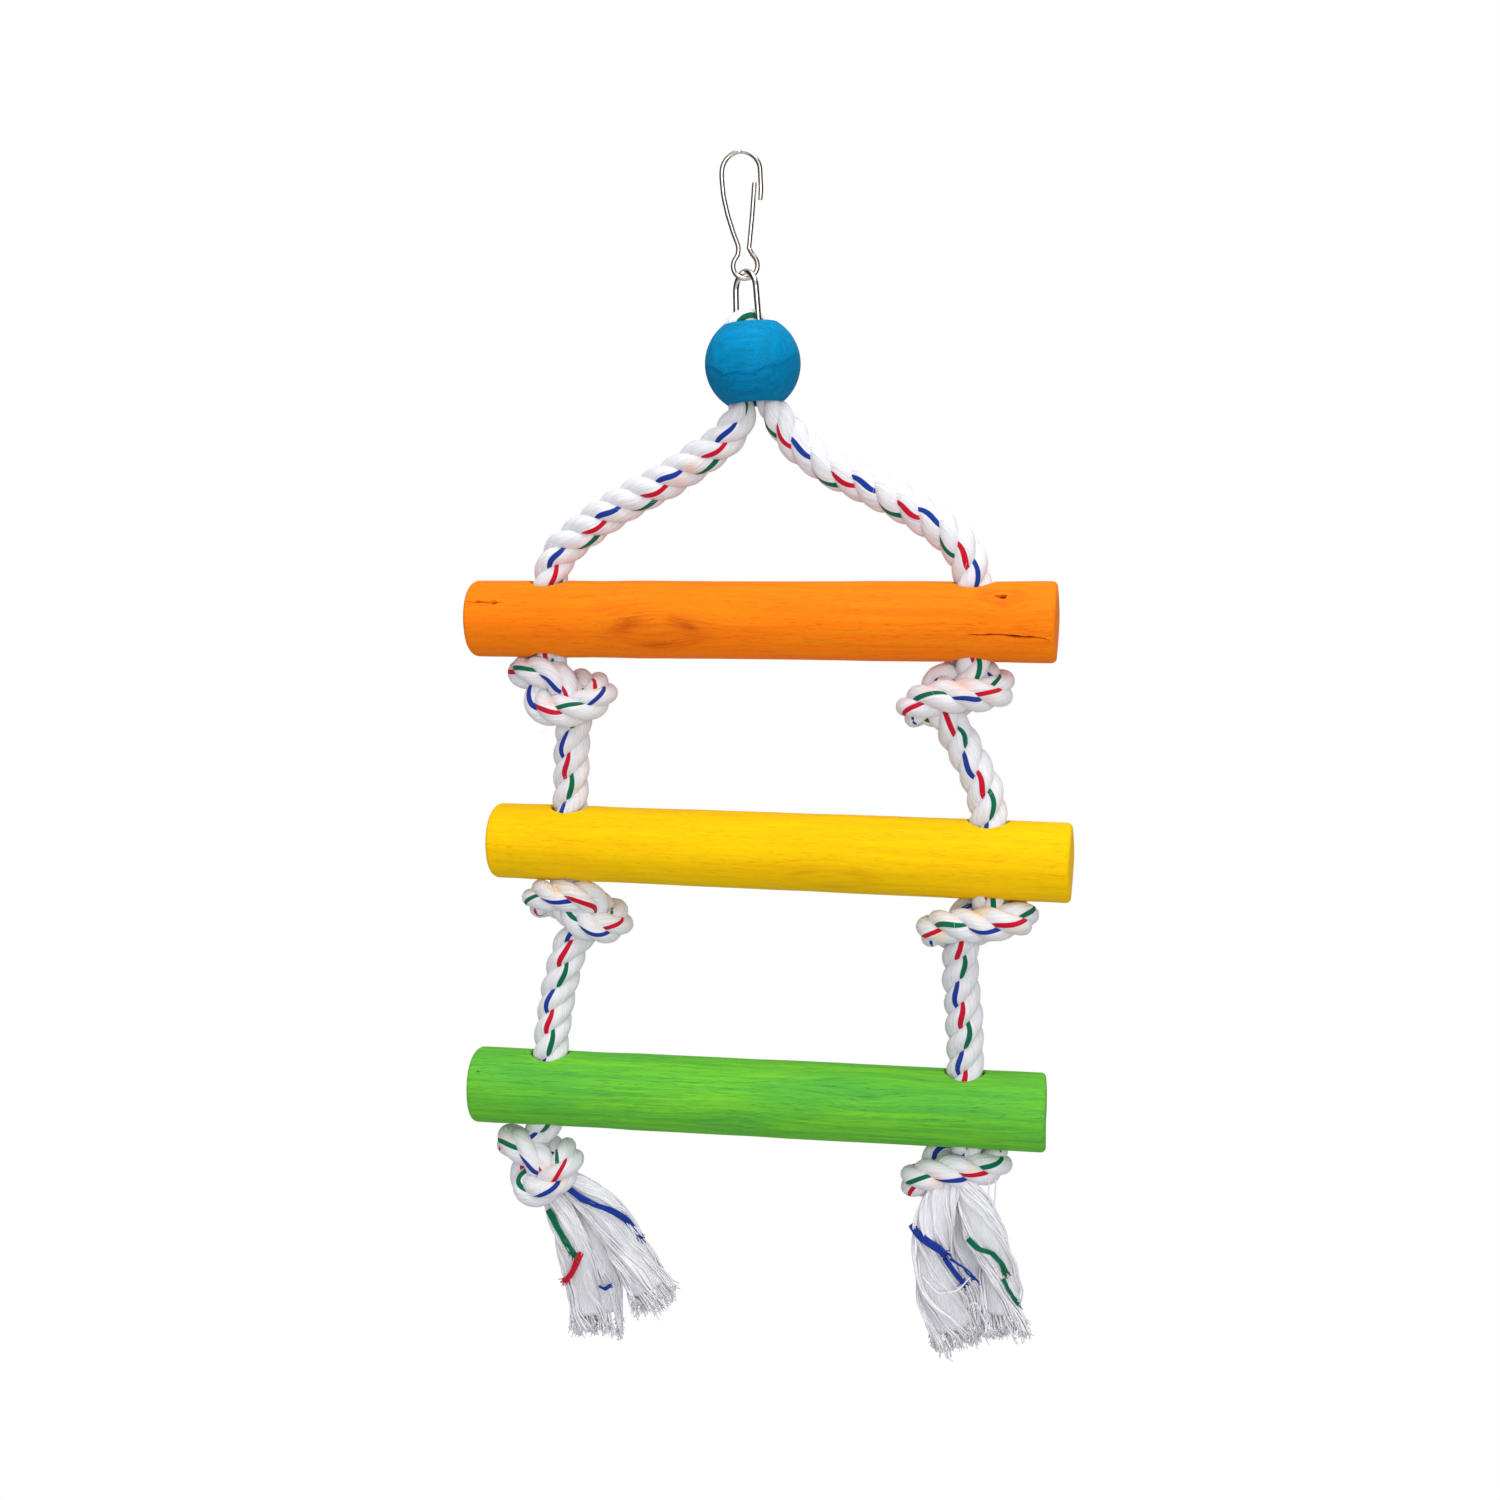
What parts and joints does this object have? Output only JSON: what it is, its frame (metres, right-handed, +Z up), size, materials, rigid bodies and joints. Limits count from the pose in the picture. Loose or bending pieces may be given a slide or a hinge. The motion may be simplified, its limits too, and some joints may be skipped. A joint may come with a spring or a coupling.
{
  "type": "hanging rope ladder",
  "caption": "Hanging bird-cage ladder: painted wooden dowel rungs knotted on a doubled cotton rope, with a bead, an oval link, a wire snap hook and frayed rope ends.",
  "frame": {"origin": "the hang point: the inside of the snap hook's crown, where the cage bar bears", "axes": "+Z up along the hanging ladder, +X along the rungs to the right as seen from the front, -Y to the front"},
  "size_m": [0.1569, 0.0278, 0.31],
  "materials": {
    "nickel_wire": "nickel-plated steel wire",
    "blue_wood": "satin dyed wood",
    "orange_wood": "satin dyed pine",
    "yellow_wood": "satin dyed pine",
    "green_wood": "satin dyed pine, mottled",
    "cotton_rope": "laid white cotton with coloured tracer yarns"
  },
  "bodies": {
    "hook": {"snap_hook": "nickel_wire"},
    "gate": {"hook_gate": "nickel_wire"},
    "link": {"link": "nickel_wire"},
    "bead": {"bead": "blue_wood"},
    "ladder_top": {"rope_top_loop": "cotton_rope", "rung_1": "orange_wood", "knot_1_left": "cotton_rope", "knot_1_right": "cotton_rope", "span_1_left": "cotton_rope", "span_1_right": "cotton_rope"},
    "ladder_middle": {"rung_2": "yellow_wood", "knot_2_left": "cotton_rope", "knot_2_right": "cotton_rope", "span_2_left": "cotton_rope", "span_2_right": "cotton_rope"},
    "ladder_bottom": {"rung_3": "green_wood", "knot_3_left": "cotton_rope", "knot_3_right": "cotton_rope"},
    "tassel_left": {"tassel_left": "cotton_rope"},
    "tassel_right": {"tassel_right": "cotton_rope"}
  },
  "joints": [
    {"name": "gate_flex", "type": "hinge", "parent": "hook", "child": "gate", "pos_m": [0.00205, 0, -0.02275], "axis": [0, -1, 0], "range_deg": [0, 20], "stiffness_Nm_per_rad": 0.03},
    {"name": "link_swing", "type": "hinge", "parent": "hook", "child": "link", "pos_m": [0.00126, 0, -0.03325], "axis": [0.7061, 0.7071, 0.037], "range_deg": [-30, 30]},
    {"name": "ladder_swing", "type": "hinge", "parent": "link", "child": "ladder_top", "pos_m": [0.00203, 0, -0.04793], "axis": [0.7061, -0.7071, 0.037], "range_deg": [-12, 12]},
    {"name": "bead_slide", "type": "slide", "parent": "ladder_top", "child": "bead", "axis": [-0.0698, 0, 0.9976], "range_m": [0, 0.006]},
    {"name": "fold_1", "type": "hinge", "parent": "ladder_top", "child": "ladder_middle", "pos_m": [0.009, 0, -0.1545], "axis": [1, 0, 0], "range_deg": [-90, 90], "deforming": ["span_1_left", "span_1_right"]},
    {"name": "fold_2", "type": "hinge", "parent": "ladder_middle", "child": "ladder_bottom", "pos_m": [0.003, 0, -0.2155], "axis": [1, 0, 0], "range_deg": [-90, 90], "deforming": ["span_2_left", "span_2_right"]},
    {"name": "tassel_left_swing", "type": "hinge", "parent": "ladder_bottom", "child": "tassel_left", "pos_m": [-0.0525, -0.0029, -0.2769], "axis": [1, 0, 0], "range_deg": [-45, 45]},
    {"name": "tassel_right_swing", "type": "hinge", "parent": "ladder_bottom", "child": "tassel_right", "pos_m": [0.0595, 0.0029, -0.2689], "axis": [1, 0, 0], "range_deg": [-45, 45]}
  ]
}
